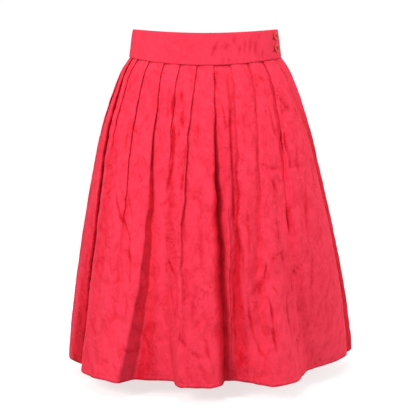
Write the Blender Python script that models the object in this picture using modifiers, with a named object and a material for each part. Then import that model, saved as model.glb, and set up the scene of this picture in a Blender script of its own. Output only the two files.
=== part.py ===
"""A knee-length pleated skirt, worn and hollow, built in metres with +Z up.

The origin is the middle of the waist, halfway up the waistband. The front faces -Y and the
wearer's left, where the two buttons are, is +X. Turns are in degrees round the waist, from
the middle of the front at 0 to the wearer's left at 90 and the middle of the back at 180.
"""
import bisect
import math
from collections import namedtuple

import bmesh
import bpy
from mathutils import Matrix, Vector

# Driving sizes, in metres.
BAND_HEIGHT = 0.048          # waistband at the wearer's sides
BAND_TOP_Z = 0.024           # its upper edge there, above the origin
BAND_TOP_DIP = 0.0065        # how far the upper edge dips at the front and the back
BAND_SEAM_DIP = 0.0115       # the same for the seam under the band
BAND_WALL = 0.0020           # two layers of cloth and their stiffening
BAND_LAP_GAP = 0.0006        # between the band's lapped ends
SKIRT_LENGTH = 0.535         # from the band's seam to the hem, at the sides
CLOTH_WALL = 0.0010
SEAM_GAP = 0.00035           # between pieces that meet
BAND_CLEARANCE = 0.0008      # from the band down to the panels' upper edges
HEM_SWAY = 0.0050            # the hem hangs this far toward the wearer's left

# Pleats at the band: three layers of cloth, a step apart, each tucked under the one above.
LAYER_STEP = 0.0017          # between the middles of two layers
TUCK = 0.0135                # how far a pleat is folded under
FOLD_RADIUS = 0.0014         # from a fold's tip to where its cloth lies flat
EDGE_CLEARANCE = 0.0012      # from a fold's tip to where the cloth beneath starts to rise

# The band's ends, lapped at the wearer's left.
LAP_TURN = 77.0              # end of the lap, on top
UNDERLAP_TURN = 50.0         # end beneath it

# Buttons.
BUTTON_RADIUS = 0.0076
BUTTON_THICKNESS = 0.0026
BUTTON_HOLE_RADIUS = 0.0010
BUTTON_HOLE_SPREAD = 0.0015
BUTTON_STEPS = 32
BUTTON_PROFILE = (           # shares of the radius and the thickness, from the middle down
    (0.00, 0.62), (0.50, 0.62), (0.62, 0.92), (0.78, 1.00), (0.94, 0.90),
    (1.00, 0.62), (1.00, 0.34), (0.88, 0.00), (0.00, 0.00),
)
BUTTONS = (                  # name, turn, height above the origin
    ("button_upper", 69.0, 0.0130),
    ("button_lower", 68.0, -0.0068),
)

RED_CLOTH = (0.86, 0.07, 0.11)
RED_PLASTIC = (0.80, 0.10, 0.06)

# The outline of the skirt at each drop below the band's seam.
RINGS = (                    # drop, half width, depth to the front, depth to the back
    (0.000, 0.1312, 0.1008, 0.1008),
    (0.020, 0.1450, 0.1105, 0.1130),
    (0.045, 0.1562, 0.1200, 0.1240),
    (0.080, 0.1695, 0.1320, 0.1375),
    (0.130, 0.1855, 0.1470, 0.1550),
    (0.200, 0.2005, 0.1640, 0.1730),
    (0.300, 0.2195, 0.1860, 0.1950),
    (0.420, 0.2395, 0.2090, 0.2160),
    (0.535, 0.2560, 0.2285, 0.2330),
)
BAND_RINGS = (               # share of the way down the band, half width, half depth
    (0.00, 0.1252, 0.0955),
    (0.35, 0.1280, 0.0978),
    (0.70, 0.1300, 0.0996),
    (1.00, 0.1320, 0.1016),
)

# Each pleat has a fold edge and an inner fold. An edge that faces +1 points to larger turns.
# Both folds have a turn, a depth inward from the outline and a swell, which is how far the
# cloth next to the fold stands out, at the hip and at the hem; depths are in millimetres.
Pleat = namedtuple("Pleat", "facing band edge_hip edge_hem inner_hip inner_hem")
PLEATS_FRONT = tuple(Pleat(*row) for row in (
    (+1, -88.0, (-87.0, 1, 0), (-99.0, 3, 0), (-84.0, 3, 0), (-95.0, 4, 0)),
    (+1, -75.0, (-70.5, 8, 1), (-77.5, 27, 3), (-78.5, 28, 3), (-88.0, 42, 0)),
    (+1, -62.5, (-58.8, 1, 4), (-60.5, 8, 0), (-55.5, 5, 1), (-56.5, 6, 0)),
    (+1, -46.7, (-43.2, 1, 1), (-47.0, 2, 2), (-44.2, 5, 0), (-43.0, 3, 1)),
    (+1, -32.0, (-27.5, 0, 1), (-34.5, 0, 2), (-28.0, 16, 3), (-33.5, 38, 0)),
    (+1, -18.9, (-20.0, 4, 0), (-17.4, 52, 0), (-17.3, 4, 2), (-13.2, 18, 8)),
    (+1, -6.1, (-11.8, 0, 1), (-9.5, 11, 2), (-13.3, 6, 0), (-7.5, 10, 3)),
    (+1, 6.1, (2.6, 2, 2), (3.5, 26, 13), (4.4, 28, 17), (7.2, 60, 2)),
    (-1, 18.9, (14.4, 0, 0), (18.9, 38, 0), (16.5, 11, 8), (13.5, 58, 0)),
    (-1, 33.8, (25.8, 0, 1), (25.0, -3, 3), (27.8, 7, 0), (22.0, 18, 0)),
    (-1, 48.4, (43.4, 1, 1), (63.0, 52, 0), (43.0, 14, 0), (57.0, 53, 5)),
))
PLEATS_BACK = tuple(Pleat(*row) for row in (
    (+1, 80.5, (88.0, 0, 0), (110.0, -25, 0), (91.0, 12, 0), (116.0, 32, 0)),
    (+1, 94.0, (103.0, 5, 2), (122.5, 30, 3), (104.5, 11, 0), (126.5, 42, 3)),
    (+1, 107.5, (114.0, 0, 2), (133.5, 2, 6), (113.5, 6, 0), (138.0, 18, 2)),
    (+1, 121.0, (127.0, 0, 1), (143.0, 3, 4), (128.0, 13, 0), (148.5, 46, 0)),
    (+1, 134.5, (139.0, 4, 1), (154.0, 33, 3), (140.0, 12, 0), (158.0, 47, 3)),
    (+1, 148.0, (151.0, 0, 1), (166.0, 3, 6), (150.5, 7, 0), (171.0, 30, 2)),
    (+1, 161.5, (164.0, 0, 1), (177.0, 4, 4), (165.5, 14, 0), (182.5, 50, 0)),
    (-1, 176.0, (180.0, 0, 1), (194.0, 4, 5), (179.0, 13, 0), (188.5, 48, 0)),
    (-1, 190.0, (193.0, 1, 1), (206.0, 12, 3), (193.6, 6, 1), (202.0, 20, 2)),
    (-1, 203.5, (206.0, 0, 1), (219.0, 3, 5), (205.5, 14, 0), (213.5, 46, 0)),
    (-1, 217.0, (219.0, 3, 1), (229.5, 26, 3), (218.6, 10, 0), (227.0, 38, 3)),
    (-1, 230.0, (231.5, 0, 1), (239.5, 2, 4), (231.0, 9, 0), (235.0, 32, 2)),
    (-1, 241.5, (243.0, 0, 1), (251.5, 4, 3), (242.0, 12, 0), (247.0, 44, 0)),
))

# Where the panels start and end: turn at band, hip and hem, layer at the band, and depth at the
# hip and the hem.
Station = namedtuple("Station", "band hip hem layer hip_depth hem_depth")
LEFT_SEAM = (Station(-97.0, -98.5, -105.0, 0.0, 5, 22),)
FRONT_END = (Station(62.0, 74.5, 97.5, 0.0, 1, 3),)
BACK_START = (
    Station(57.0, 65.5, 85.0, 1.3, 9, 40),
    Station(65.5, 75.0, 95.0, 1.3, 6, 22),
)

# Where a pleat's stations lie once it is open, as shares of the way along and of the depth:
# two on the stretch that reaches a fold, and four from the pleat's first fold to its second.
FAR_STATION = (0.62, 0.72)
NEAR_STATION = (0.90, 0.95)
FOLD_STATIONS = ((0.06, 0.03), (0.28, 0.22), (0.72, 0.78), (0.94, 0.97))
NEAR_SWELL = 0.3             # share of a swell that the near station takes

HIP_SHARE = 0.40             # share of the drop at which a turn at the hip is taken
ROW_SHARES = (0.0, 0.035, 0.085, 0.15, 0.225, 0.31, 0.40, 0.50, 0.61, 0.73, 0.86, 1.0)
BAND_STEPS = 84
LAP_CLEAR_TURN = 3.0         # from the lap's end to where the band beneath starts to rise,
BAND_RISE_TURN = 16.0        # and the turn over which it rises


def mix(first, last, share):
    return first + (last - first) * share


def ease(share):
    share = min(max(share, 0.0), 1.0)
    return share * share * (3.0 - 2.0 * share)


def read_table(rows, key, column):
    """The column's value at the key, on a smooth curve through the rows."""
    keys = [row[0] for row in rows]
    at = min(max(bisect.bisect_right(keys, key) - 1, 0), len(rows) - 2)

    def slope(row):
        low, high = max(row - 1, 0), min(row + 1, len(rows) - 1)
        return (rows[high][column] - rows[low][column]) / (keys[high] - keys[low])

    span = keys[at + 1] - keys[at]
    share = (key - keys[at]) / span
    bend = ease(share)
    start = share * (1.0 - share) ** 2 * span * slope(at)
    end = share * share * (1.0 - share) * span * slope(at + 1)
    return mix(rows[at][column], rows[at + 1][column], bend) + start - end


def turn_at(band, hip, hem, share):
    """The turn at a share of the drop, on the parabola through band, hip and hem."""
    past_hip = (share - HIP_SHARE) * (share - 1.0) / HIP_SHARE
    at_hip = share * (share - 1.0) / (HIP_SHARE * (HIP_SHARE - 1.0))
    at_hem = share * (share - HIP_SHARE) / (1.0 - HIP_SHARE)
    return band * past_hip + hip * at_hip + hem * at_hem


def outline_point(turn, inward, share):
    """A point on the skirt at a turn, this far inside its outline, at a share of the drop."""
    drop = share * SKIRT_LENGTH
    angle = math.radians(turn)
    depth_column = 2 if math.cos(angle) > 0.0 else 3
    half_width = read_table(RINGS, drop, 1) - inward
    depth = read_table(RINGS, drop, depth_column) - inward
    seam_z = BAND_TOP_Z - BAND_HEIGHT - BAND_SEAM_DIP * math.cos(angle) ** 2
    hem_z = BAND_TOP_Z - BAND_HEIGHT - SKIRT_LENGTH
    x = half_width * math.sin(angle) + HEM_SWAY * share
    return Vector((x, -depth * math.cos(angle), mix(seam_z - BAND_CLEARANCE, hem_z, share)))


def metres_to_turn(length, share):
    radius = 0.5 * (read_table(RINGS, share * SKIRT_LENGTH, 1)
                    + read_table(RINGS, share * SKIRT_LENGTH, 2))
    return math.degrees(length / radius)


def folded_stations(pleat):
    """A pleat's eight stations as they are folded at the band: turn and inward depth."""
    tuck = metres_to_turn(TUCK, 0.0)
    bend = metres_to_turn(FOLD_RADIUS, 0.0)
    clear = metres_to_turn(EDGE_CLEARANCE, 0.0)
    stations = [
        (-tuck, 0.0), (-bend, 0.0), (0.0, 0.5), (-bend, 1.0),
        (-tuck + bend, 1.0), (-tuck, 1.5), (-tuck + bend, 2.0), (clear, 2.0),
    ]
    if pleat.facing < 0:
        stations = [(-turn, layer) for turn, layer in reversed(stations)]
    return [(pleat.band + turn, layer * LAYER_STEP) for turn, layer in stations]


def fold_ends(pleat, at_hem):
    """A pleat's two folds at the hem or the hip, in order of turn, as (turn, depth, swell)."""
    edge = pleat.edge_hem if at_hem else pleat.edge_hip
    inner = pleat.inner_hem if at_hem else pleat.inner_hip
    return (edge, inner) if pleat.facing > 0 else (inner, edge)


def open_stations(first, last, before, after):
    """A pleat's stations where it is open, from its two folds and the folds on either side."""
    def between(start, end, shares, swell):
        along, deep = shares
        depth = mix(start[1], end[1], deep) - swell
        return (mix(start[0], end[0], along), 0.001 * depth)

    return [
        between(before, first, FAR_STATION, first[2]),
        between(before, first, NEAR_STATION, NEAR_SWELL * first[2]),
        *(between(first, last, shares, 0.0) for shares in FOLD_STATIONS),
        between(after, last, NEAR_STATION, NEAR_SWELL * last[2]),
        between(after, last, FAR_STATION, last[2]),
    ]


def end_stations(stations, level):
    """Where the panel's end stations lie at the band, the hip or the hem."""
    if level == "band":
        return [(station.band, station.layer * LAYER_STEP) for station in stations]
    if level == "hip":
        return [(station.hip, 0.001 * station.hip_depth) for station in stations]
    return [(station.hem, 0.001 * station.hem_depth) for station in stations]


def panel_level(pleats, start, end, level):
    """All stations of a panel at the band, the hip or the hem."""
    first_end, last_end = end_stations(start, level), end_stations(end, level)
    row = list(first_end)
    if level == "band":
        for pleat in pleats:
            row.extend(folded_stations(pleat))
    else:
        folds = [fold for pleat in pleats for fold in fold_ends(pleat, level == "hem")]
        folds.insert(0, (first_end[-1][0], 1000.0 * first_end[-1][1], 0.0))
        folds.append((last_end[0][0], 1000.0 * last_end[0][1], 0.0))
        for place in range(1, len(folds) - 1, 2):
            before, first, last, after = folds[place - 1:place + 3]
            row.extend(open_stations(first, last, before, after))
    return row + last_end


def panel_row(levels, share):
    """The panel's stations at a share of the drop, on curves through its three levels."""
    return [
        tuple(turn_at(*values, share) for values in zip(*station))
        for station in zip(*levels)
    ]


def new_material(name, colour, roughness):
    material = bpy.data.materials.new(name)
    material.use_nodes = True
    shader = material.node_tree.nodes["Principled BSDF"]
    shader.inputs["Base Color"].default_value = (*colour, 1.0)
    shader.inputs["Roughness"].default_value = roughness
    shader.inputs["Metallic"].default_value = 0.0
    return material


def grid_object(name, rows, wall, collection, material):
    """A sheet through rows of points, given its wall's thickness about its middle."""
    mesh = bpy.data.meshes.new(name)
    width = len(rows[0])
    points = [point for row in rows for point in row]
    faces = [
        (low + place, low + place + width, low + place + width + 1, low + place + 1)
        for low in range(0, width * (len(rows) - 1), width)
        for place in range(width - 1)
    ]
    mesh.from_pydata(points, [], faces)
    mesh.shade_smooth()
    mesh.set_sharp_from_angle(angle=math.radians(50.0))
    mesh.materials.append(material)
    sheet = bpy.data.objects.new(name, mesh)
    collection.objects.link(sheet)
    thickness = sheet.modifiers.new("Wall", "SOLIDIFY")
    thickness.thickness = wall
    thickness.offset = 0.0
    thickness.use_even_offset = True
    thickness.use_quality_normals = True
    return sheet


def make_panel(name, pleats, start, end, collection, material):
    levels = [panel_level(pleats, start, end, level) for level in ("band", "hip", "hem")]
    rows = []
    for share in ROW_SHARES:
        stations = panel_row(levels, share)
        rows.append([outline_point(turn, depth, share) for turn, depth in stations])
    return grid_object(name, rows, CLOTH_WALL, collection, material)


def seam_stations(stations, whole_turns, side):
    """Stations moved by whole turns round the waist, and half a seam's gap to one side."""
    half_gap = side * metres_to_turn(0.5 * SEAM_GAP, 0.0)
    moved = 360.0 * whole_turns + half_gap
    return tuple(
        station._replace(
            band=station.band + moved, hip=station.hip + moved, hem=station.hem + moved)
        for station in stations
    )


def band_point(turn, down, inward):
    """A point on the band's middle at a turn, a share of the way down it."""
    angle = math.radians(turn)
    dip = mix(BAND_TOP_DIP, BAND_SEAM_DIP, down) * math.cos(angle) ** 2
    return Vector((
        (read_table(BAND_RINGS, down, 1) - inward) * math.sin(angle),
        -(read_table(BAND_RINGS, down, 2) - inward) * math.cos(angle),
        BAND_TOP_Z - BAND_HEIGHT * down - dip,
    ))


def band_inset(turn):
    """How far in the band lies: its first end goes under the lap, then rises to the outside."""
    under = BAND_WALL + BAND_LAP_GAP
    return under * (1.0 - ease((turn - LAP_TURN - LAP_CLEAR_TURN) / BAND_RISE_TURN))


def make_band(collection, material):
    last_turn = LAP_TURN + 360.0
    turns = [mix(UNDERLAP_TURN, last_turn, step / BAND_STEPS) for step in range(BAND_STEPS + 1)]
    rows = [
        [band_point(turn, ring[0], band_inset(turn)) for turn in turns]
        for ring in BAND_RINGS
    ]
    return grid_object("waistband", rows, BAND_WALL, collection, material)


def button_mesh(cutters, material):
    """A turned button with a raised rim and four thread holes."""
    radius, height = BUTTON_RADIUS, BUTTON_THICKNESS
    mesh = bpy.data.meshes.new("button_profile")
    points = [(across * radius, 0.0, up * height) for across, up in BUTTON_PROFILE]
    mesh.from_pydata(points, [(low, low + 1) for low in range(len(points) - 1)], [])
    blank = bpy.data.objects.new("button_blank", mesh)
    cutters.objects.link(blank)
    turned = blank.modifiers.new("Turned", "SCREW")
    turned.axis = "Z"
    turned.steps = BUTTON_STEPS
    turned.render_steps = BUTTON_STEPS
    turned.use_merge_vertices = True
    turned.merge_threshold = 0.00005
    for across in (-1.0, 1.0):
        for along in (-1.0, 1.0):
            hole_mesh = bpy.data.meshes.new("thread_hole")
            shape = bmesh.new()
            bmesh.ops.create_cone(
                shape, cap_ends=True, segments=12, radius1=BUTTON_HOLE_RADIUS,
                radius2=BUTTON_HOLE_RADIUS, depth=4.0 * height)
            shape.to_mesh(hole_mesh)
            shape.free()
            hole = bpy.data.objects.new("thread_hole", hole_mesh)
            hole.location = (across * BUTTON_HOLE_SPREAD, along * BUTTON_HOLE_SPREAD, 0.0)
            hole.hide_render = True
            hole.display_type = "WIRE"
            cutters.objects.link(hole)
            cut = blank.modifiers.new("Thread hole", "BOOLEAN")
            cut.operation = "DIFFERENCE"
            cut.solver = "EXACT"
            cut.object = hole
    bpy.context.view_layer.update()
    evaluated = blank.evaluated_get(bpy.context.evaluated_depsgraph_get())
    finished = bpy.data.meshes.new_from_object(evaluated)
    finished.name = "button"
    finished.materials.clear()
    finished.materials.append(material)
    finished.shade_smooth()
    finished.set_sharp_from_angle(angle=math.radians(40.0))
    bpy.data.objects.remove(blank, do_unlink=True)
    return finished


def button_place(turn, height):
    """The button's place on the lap: flat on the band's outside, a seam's gap off it."""
    down = (BAND_TOP_Z - height) / BAND_HEIGHT
    centre = band_point(turn, down, 0.0)
    across = (band_point(turn + 1.0, down, 0.0) - band_point(turn - 1.0, down, 0.0)).normalized()
    downward = band_point(turn, down + 0.1, 0.0) - band_point(turn, down - 0.1, 0.0)
    outward = downward.cross(across).normalized()
    upward = outward.cross(across)
    axes = Matrix((across, upward, outward)).transposed().to_4x4()
    return Matrix.Translation(centre + outward * (0.5 * BAND_WALL + SEAM_GAP)) @ axes


def main():
    for old in list(bpy.data.objects):
        bpy.data.objects.remove(old, do_unlink=True)
    parts = bpy.data.collections.new("Pleated peasant skirt")
    cutters = bpy.data.collections.new("Cutters")
    bpy.context.scene.collection.children.link(parts)
    bpy.context.scene.collection.children.link(cutters)

    front_cloth = new_material("front cloth", RED_CLOTH, 0.85)
    back_cloth = new_material("back cloth", RED_CLOTH, 0.85)
    band_cloth = new_material("band cloth", RED_CLOTH, 0.82)
    button_plastic = new_material("button plastic", RED_PLASTIC, 0.35)

    front_start = seam_stations(LEFT_SEAM, 0, 1.0)
    back_end = seam_stations(LEFT_SEAM, 1, -1.0)
    make_panel("skirt_front", PLEATS_FRONT, front_start, FRONT_END, parts, front_cloth)
    make_panel("skirt_back", PLEATS_BACK, BACK_START, back_end, parts, back_cloth)
    make_band(parts, band_cloth)
    button = button_mesh(cutters, button_plastic)
    for name, turn, height in BUTTONS:
        placed = bpy.data.objects.new(name, button)
        placed.matrix_world = button_place(turn, height)
        parts.objects.link(placed)


main()
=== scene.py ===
import bisect
import math
from collections import namedtuple

import bpy
import numpy as np
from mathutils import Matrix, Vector, noise


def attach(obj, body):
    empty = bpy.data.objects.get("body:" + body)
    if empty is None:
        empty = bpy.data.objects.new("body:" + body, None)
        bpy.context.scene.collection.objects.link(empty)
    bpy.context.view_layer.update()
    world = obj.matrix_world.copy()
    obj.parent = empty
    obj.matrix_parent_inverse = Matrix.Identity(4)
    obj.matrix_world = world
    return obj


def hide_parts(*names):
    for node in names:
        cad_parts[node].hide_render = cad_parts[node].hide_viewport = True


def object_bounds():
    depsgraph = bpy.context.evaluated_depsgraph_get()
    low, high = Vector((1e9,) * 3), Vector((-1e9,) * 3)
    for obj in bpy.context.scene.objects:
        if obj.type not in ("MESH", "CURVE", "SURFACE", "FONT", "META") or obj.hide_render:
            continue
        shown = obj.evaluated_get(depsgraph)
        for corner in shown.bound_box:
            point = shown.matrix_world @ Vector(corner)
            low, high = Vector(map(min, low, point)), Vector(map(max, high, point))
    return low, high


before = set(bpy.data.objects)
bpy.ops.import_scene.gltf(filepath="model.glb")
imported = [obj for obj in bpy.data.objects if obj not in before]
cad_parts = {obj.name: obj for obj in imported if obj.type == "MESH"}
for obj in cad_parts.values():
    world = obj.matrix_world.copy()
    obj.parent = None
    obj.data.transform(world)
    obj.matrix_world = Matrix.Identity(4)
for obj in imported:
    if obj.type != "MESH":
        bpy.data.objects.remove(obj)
CAD_LOW, CAD_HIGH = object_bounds()

MM = 0.001

# The skirt's sizes, in metres, as in the solids. Turns are in degrees round the waist, from the
# middle of the front at 0 to the wearer's left at 90 and the middle of the back at 180.
BAND_HEIGHT = 0.048
BAND_TOP_Z = 0.024
BAND_TOP_DIP = 0.0065              # how far the band's top lies lower in the middle
BAND_SEAM_DIP = 0.0115             # the same for the seam under the band
BAND_WALL = 0.0020
BAND_LAP_GAP = 0.0006
BAND_CLEARANCE = 0.0002            # between the band and the cloth
BAND_RADIUS = 0.115                # for lengths along the band
LAP_TURN = 77.0                    # where the band ends, on the outside
UNDERLAP_TURN = 50.0               # where it starts, beneath that lap
LAP_CLEAR_TURN = 3.0               # it stays beneath for this much past the lap
BAND_RISE_TURN = 16.0              # and then comes to the outside within this turn
SKIRT_LENGTH = 0.535               # from the band to the hem
CLOTH_WALL = 0.0007
SIDE_SEAM_GAP = 0.00004            # between the panels, so small that they look sewn
HEM_SWAY = 0.0050                  # how far the hem hangs to the wearer's left
LAYER_STEP = 0.0017                # from one layer of a folded pleat to the next
TUCK = 0.0135                      # how deep a pleat is folded at the band
FOLD_RADIUS = 0.0014
EDGE_CLEARANCE = 0.0012            # how far the innermost layer reaches past the fold's edge
BUTTON_THICKNESS = 0.0026
BUTTON_DISH = 0.62                 # the middle's share of the thickness
BUTTON_GAP = 0.00035               # between a button and the band
BUTTON_HOLE_SPREAD = 0.0015        # from the middle to a hole, along the band and up it
BUTTONS = (("upper", 69.0, 0.0130), ("lower", 68.0, -0.0068))   # name, turn and height
BUTTONHOLE_SIZE = (0.0185, 0.0026)
BUTTONHOLE_SHIFT = (-0.0042, -0.0022)   # from the button's middle
BUTTONHOLE_SLANT = 0.22            # how steeply it rises to the wearer's left
BUTTONHOLE_BAND_RADIUS = 0.120     # for lengths along the band near the buttons
BUTTONHOLE_RIM = (0.0008, 0.00028)      # half the width and the height of its stitches
THREAD_RIM = (0.00042, 0.00042)    # the same for the thread in the buttons

RINGS = (                    # drop, half width, depth to the front, depth to the back
    (0.000, 0.1312, 0.1008, 0.1008),
    (0.020, 0.1450, 0.1105, 0.1130),
    (0.045, 0.1562, 0.1200, 0.1240),
    (0.080, 0.1695, 0.1320, 0.1375),
    (0.130, 0.1855, 0.1470, 0.1550),
    (0.200, 0.2005, 0.1640, 0.1730),
    (0.300, 0.2195, 0.1860, 0.1950),
    (0.420, 0.2395, 0.2090, 0.2160),
    (0.535, 0.2560, 0.2285, 0.2330),
)
BAND_RINGS = (               # share of the way down the band, half width, half depth
    (0.00, 0.1252, 0.0955),
    (0.35, 0.1280, 0.0978),
    (0.70, 0.1300, 0.0996),
    (1.00, 0.1320, 0.1016),
)

# Each pleat has a fold edge and an inner fold. An edge that faces +1 points to larger turns.
# Both folds have a turn, a depth inward from the outline and a swell, which is how far the
# cloth next to the fold stands out, at the hip and at the hem; depths are in millimetres.
Pleat = namedtuple("Pleat", "facing band edge_hip edge_hem inner_hip inner_hem")
PLEATS_FRONT = tuple(Pleat(*row) for row in (
    (+1, -88.0, (-87.0, 1, 0), (-99.0, 3, 0), (-84.0, 3, 0), (-95.0, 4, 0)),
    (+1, -75.0, (-69.6, 7, 1), (-75.5, 27, 3), (-72.8, 28, 3), (-78.0, 42, 0)),
    (+1, -62.5, (-58.8, 1, 4), (-60.5, 8, 0), (-55.5, 5, 1), (-56.5, 6, 0)),
    (+1, -46.7, (-41.7, 1, 1), (-46.5, 2, 2), (-42.7, 5, 0), (-43.0, 3, 1)),
    (+1, -32.0, (-28.0, 0, 1), (-36.2, 0, 2), (-28.8, 16, 3), (-35.0, 38, 0)),
    (+1, -18.9, (-18.6, 4, 0), (-17.4, 52, 0), (-16.2, 4, 2), (-13.2, 18, 8)),
    (+1, -6.1, (-10.4, 0, 1), (-8.5, 11, 2), (-11.9, 6, 0), (-6.9, 10, 3)),
    (+1, 6.1, (3.6, 2, 2), (5.3, 26, 13), (5.4, 28, 17), (8.4, 60, 2)),
    (-1, 18.9, (14.4, 0, 0), (18.9, 38, 0), (16.5, 11, 8), (13.5, 58, 0)),
    (-1, 33.8, (25.8, 0, 1), (25.0, -3, 3), (27.8, 7, 0), (22.0, 18, 0)),
    (-1, 48.4, (43.4, 1, 1), (63.0, 52, 0), (43.0, 9, 0), (57.0, 53, 5)),
))
PLEATS_BACK = tuple(Pleat(*row) for row in (
    (+1, 80.5, (88.0, 0, 0), (110.0, -25, 0), (91.0, 12, 0), (116.0, 32, 0)),
    (+1, 94.0, (103.0, 5, 2), (122.5, 30, 3), (104.5, 11, 0), (126.5, 42, 3)),
    (+1, 107.5, (114.0, 0, 2), (133.5, 2, 6), (113.5, 6, 0), (138.0, 18, 2)),
    (+1, 121.0, (127.0, 0, 1), (143.0, 3, 4), (128.0, 13, 0), (148.5, 46, 0)),
    (+1, 134.5, (139.0, 4, 1), (154.0, 33, 3), (140.0, 12, 0), (158.0, 47, 3)),
    (+1, 148.0, (151.0, 0, 1), (166.0, 3, 6), (150.5, 7, 0), (171.0, 30, 2)),
    (+1, 161.5, (164.0, 0, 1), (177.0, 4, 4), (165.5, 14, 0), (182.5, 50, 0)),
    (-1, 176.0, (180.0, 0, 1), (194.0, 4, 5), (179.0, 13, 0), (188.5, 48, 0)),
    (-1, 190.0, (193.0, 1, 1), (206.0, 12, 3), (193.6, 6, 1), (202.0, 20, 2)),
    (-1, 203.5, (206.0, 0, 1), (219.0, 3, 5), (205.5, 14, 0), (213.5, 46, 0)),
    (-1, 217.0, (219.0, 3, 1), (229.5, 26, 3), (218.6, 10, 0), (227.0, 38, 3)),
    (-1, 230.0, (231.5, 0, 1), (239.5, 2, 4), (231.0, 9, 0), (235.0, 32, 2)),
    (-1, 241.5, (243.0, 0, 1), (251.5, 4, 3), (242.0, 12, 0), (247.0, 44, 0)),
))

# Where the panels start and end: turn at band, hip and hem, layer at the band, and depth at the
# hip and the hem, in millimetres. The side seam is at the wearer's right.
Station = namedtuple("Station", "band hip hem layer hip_depth hem_depth")
SIDE_SEAM = (Station(-97.0, -98.5, -105.0, 0.0, 5, 22),)
FRONT_END = (Station(62.0, 74.5, 97.5, 0.0, 1, 3),)
BACK_START = (
    Station(57.0, 65.5, 85.0, 1.3, 9, 40),
    Station(65.5, 75.0, 95.0, 1.3, 6, 22),
)

# Where a pleat's stations lie when it is open, as shares of the turn and of the depth: beside its
# folds, on the way there from the next fold, and between its two folds.
FAR_STATION = (0.62, 0.72)
NEAR_STATION = (0.90, 0.95)
FOLD_STATIONS = ((0.06, 0.03), (0.28, 0.22), (0.72, 0.78), (0.94, 0.97))
NEAR_SWELL = 0.3                   # the near station's share of the swell
HIP_SHARE = 0.40                   # the hip's share of the drop

# The line of stitches that holds the turned-up hem.
HEM_LINE_DROP = SKIRT_LENGTH - 0.0080
HEM_LINE_DEPTH = 0.0004
HEM_LINE_WIDTH = 0.0022
HEM_LINE_ROW = 0.002               # between the rows of points along it

# How finely the cloth is modelled.
CLOTH_ROWS = 112
ROW_CROWDING = (1.12, 0.3)         # power that crowds rows near the band, share of even rows
POINT_SPACING = (0.0033, 0.0037)   # along a row of the front and the back, at most
BAND_STEPS = 360                   # round the waist
BAND_ROWS = 16                     # down each side of the band
TUBE_CORNERS = 8
STITCH_SWELL = (0.95, 1.15)        # a stitched tube is this much thinner and thicker by turns

# How far the cloth strays from those stations. Uneven waves are rows of height, fineness along
# the cloth and down it, and a place in the noise.
FOLD_ROUNDING = (0.0009, 0.0034)   # how far from a station its rounding starts, band and hem
CREASE_TAPER = 0.6                 # a power: the smaller, the blunter a crease's ends
CREASE_END_WIDTH = 0.55            # next to its width in the middle
WAVER = 1.1                        # about how far the folds stray, in degrees
WAVER_WAVES = ((1.0, 2.0, 21.0), (0.4, 5.2, 55.0))   # part of it, fineness round and down
WAVER_START = 0.04                 # drop at which they do so in full
SMOOTH_SHARE = 0.04                # share of the drop at which the creases are there in full
SEAM_FLAT = 0.012                  # the creases fade out this near the side seam
CRINKLE_WAVES = ((0.0005, 100.0, 75.0, 0.0), (0.0007, 24.0, 13.0, 1.6))
CRINKLE_FOLDS = ((1.0, 66.0, 36.0, 5.4),)   # sharp folds lie where this is nought
CRINKLE_FOLD_DEPTH, CRINKLE_FOLD_WIDTH = 0.0009, 0.12
BAND_WAVES = ((0.00018, 120.0, 70.0, 11.0), (0.00035, 40.0, 20.0, 4.0))
BAND_EDGE_POWER = 0.4              # how quickly its wrinkles fade at its edges

# How dark the cloth is made: painted shade in its folds and creases and where the back lies
# beneath the front.
UNDER_SHADE = 0.7                  # the back next to the front's edge
UNDER_SHADE_SHARE = 0.35           # share of the drop at which that is reached
CREASE_SHADE = 0.60                # the deepest creases
CRINKLE_SHADE = 0.3                # the crinkle's part in that
PRESSED_DEPTH = 0.0018             # depth at which a crease's painted shade is darkest
BAND_PRESSED_DEPTH = 0.0013        # the same on the band
BAND_SHADE = 0.25                  # the folds at the band

# Painted shade of the cloth inside each pleat's fold, at the hip and at the hem, and of the cloth
# before and beyond it at the hem.
FOLD_SHADES = (0.8, 1.0, 1.0, 1.0, 0.5, 0.1)   # from just past the edge to the next cloth
SHADES_FRONT = (
    (0.3, 0.2, 0.0, 0.0), (1.0, 0.9, 0.75, 0.3), (0.3, 0.1, 0.0, 0.0), (0.2, 0.0, 0.0, 0.0),
    (0.1, 0.0, 0.0, 0.5), (0.3, 0.1, 0.0, 0.0), (0.2, 0.1, 0.0, 0.05), (0.6, 0.35, 0.0, 0.25),
    (0.75, 0.3, 0.0, 0.1), (0.1, 0.1, 0.0, 0.1), (0.0, 0.1, 0.0, 0.1),
)
SHADES_BACK = (
    (0.2, 0.2, 0.0, 0.0), (0.3, 0.2, 0.0, 0.1), (0.2, 0.1, 0.0, 0.0), (0.4, 0.3, 0.0, 0.2),
    (0.3, 0.2, 0.0, 0.1), (0.2, 0.1, 0.0, 0.0), (0.4, 0.3, 0.0, 0.2), (0.3, 0.3, 0.0, 0.1),
    (0.2, 0.1, 0.0, 0.0), (0.4, 0.3, 0.0, 0.2), (0.3, 0.2, 0.0, 0.1), (0.2, 0.1, 0.0, 0.0),
    (0.4, 0.3, 0.0, 0.1),
)
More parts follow.
